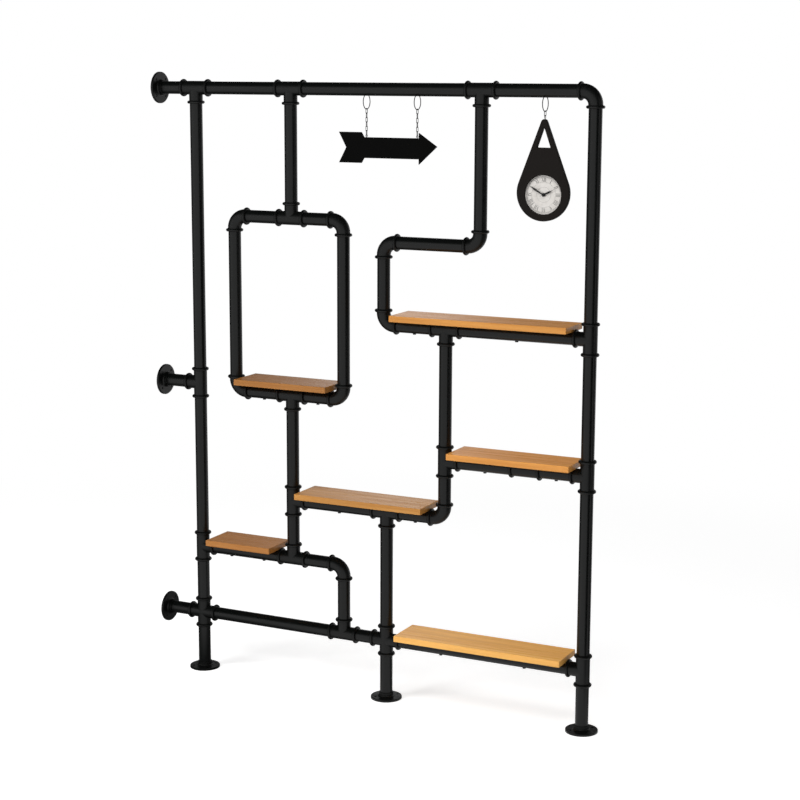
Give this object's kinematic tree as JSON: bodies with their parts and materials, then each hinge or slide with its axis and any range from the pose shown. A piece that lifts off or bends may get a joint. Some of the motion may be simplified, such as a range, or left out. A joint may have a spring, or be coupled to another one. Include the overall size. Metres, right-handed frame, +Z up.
{
  "type": "pipe shelving unit",
  "caption": "Black pipe shelving unit for a side wall, with wooden boards, a looped frame, a bare arrow sign on chains and a drop-shaped hanging clock",
  "frame": {"origin": "middle of the box round the whole unit, at the undersides of the floor flanges", "axes": "+X along the unit from the wall flanges to the free end, +Y from the front to the back, +Z up"},
  "size_m": [1.293, 0.115, 1.6585],
  "materials": {
    "black_pipe": "satin black paint",
    "black_fitting": "satin black paint on beaded malleable iron",
    "oiled_board": "oiled warm brown wood with fine lengthwise grain",
    "screw_steel": "blackened steel",
    "wire_steel": "dark drawn steel wire",
    "sign_black": "matte black paint on thin board",
    "plate_brown": "matte dark brown stain",
    "drum_black": "matte black moulding",
    "dial_white": "matte off-white card with grey print",
    "nut_black": "black paint on a turned nut",
    "case_grey": "dark grey moulding",
    "cell_sleeve": "plain sleeve without print",
    "hand_black": "matte black sheet"
  },
  "bodies": {
    "frame": {"top_rail_tees": "black_fitting", "left_post_tees": "black_fitting", "right_post_tees": "black_fitting", "loop_tees": "black_fitting", "drop_post_tees": "black_fitting", "shelf_rail_tees": "black_fitting", "low_rail_tee": "black_fitting", "low_rail_crosses": "black_fitting", "top_corner_elbow": "black_fitting", "loop_elbows": "black_fitting", "double_bend_elbows": "black_fitting", "step_elbows": "black_fitting", "right_rail_coupling": "black_fitting", "left_floor_flange": "black_fitting", "middle_floor_flange": "black_fitting", "right_floor_flange": "black_fitting", "top_wall_flange": "black_fitting", "middle_wall_flange": "black_fitting", "bottom_wall_flange": "black_fitting", "left_post_pipes": "black_pipe", "wall_nipples": "black_pipe", "right_post_pipes": "black_pipe", "middle_post_pipes": "black_pipe", "top_rail_pipes": "black_pipe", "low_rail_pipes": "black_pipe", "loop_pipes": "black_pipe", "drop_post_pipes": "black_pipe", "centre_rail_pipes": "black_pipe", "left_step_pipes": "black_pipe", "double_bend_pipes": "black_pipe", "right_rail_pipes": "black_pipe", "loop_board": "oiled_board", "centre_board": "oiled_board", "left_board": "oiled_board", "upper_board": "oiled_board", "right_board": "oiled_board", "low_board": "oiled_board", "shelf_screws": "screw_steel", "sign_rings": "wire_steel", "clock_ring": "wire_steel"},
    "sign_links": {"sign_top_links": "wire_steel"},
    "left_chain": {"left_chain": "wire_steel"},
    "right_chain": {"right_chain": "wire_steel"},
    "sign": {"arrow_sign": "sign_black", "sign_eyes": "wire_steel"},
    "clock_link": {"clock_link": "wire_steel"},
    "clock": {"clock_plate": "plate_brown", "clock_eye": "wire_steel", "clock_drum": "drum_black", "drum_screws": "screw_steel", "dial": "dial_white", "dial_backing": "drum_black", "centre_nut": "nut_black", "movement_case": "case_grey", "cell": "cell_sleeve"},
    "minute_hand": {"minute_hand": "hand_black"},
    "hour_hand": {"hour_hand": "hand_black"},
    "second_hand": {"second_hand": "hand_black"},
    "setting_knob": {"setting_knob": "case_grey"}
  },
  "joints": [
    {"name": "sign_swing", "type": "hinge", "parent": "frame", "child": "sign_links", "pos_m": [0.0565, 0, 1.585], "axis": [1, 0, 0], "range_deg": [-45, 45]},
    {"name": "sign_sway", "type": "hinge", "parent": "sign_links", "child": "left_chain", "pos_m": [-0.0155, 0, 1.55745], "axis": [0, 1, 0], "range_deg": [-35, 20]},
    {"name": "right_chain_sway", "type": "hinge", "parent": "sign_links", "child": "right_chain", "pos_m": [0.1285, 0, 1.55745], "axis": [0, 1, 0], "range_deg": [-35, 20]},
    {"name": "sign_level", "type": "hinge", "parent": "left_chain", "child": "sign", "pos_m": [-0.0155, 0, 1.49875], "axis": [0, 1, 0], "range_deg": [-20, 35]},
    {"name": "clock_swing", "type": "hinge", "parent": "frame", "child": "clock_link", "pos_m": [0.4745, 0, 1.585], "axis": [1, 0, 0], "range_deg": [-45, 45]},
    {"name": "clock_sway", "type": "hinge", "parent": "clock_link", "child": "clock", "pos_m": [0.4745, 0, 1.55745], "axis": [0, 1, 0], "range_deg": [-12, 20]},
    {"name": "minute_hand_turn", "type": "hinge", "parent": "clock", "child": "minute_hand", "pos_m": [0.4745, 0, 1.364], "axis": [0, 1, 0], "continuous": true},
    {"name": "hour_hand_turn", "type": "hinge", "parent": "clock", "child": "hour_hand", "pos_m": [0.4745, 0, 1.364], "axis": [0, 1, 0], "continuous": true},
    {"name": "second_hand_turn", "type": "hinge", "parent": "clock", "child": "second_hand", "pos_m": [0.4745, 0, 1.364], "axis": [0, 1, 0], "continuous": true},
    {"name": "setting_knob_turn", "type": "hinge", "parent": "clock", "child": "setting_knob", "pos_m": [0.4895, 0, 1.373], "axis": [0, 1, 0], "continuous": true}
  ],
  "couplings": [
    {"joint": "right_chain_sway", "follows": "sign_sway", "ratio": 1},
    {"joint": "sign_level", "follows": "sign_sway", "ratio": -1},
    {"joint": "hour_hand_turn", "follows": "minute_hand_turn", "ratio": 0.083333},
    {"joint": "setting_knob_turn", "follows": "minute_hand_turn", "ratio": -0.33333}
  ]
}
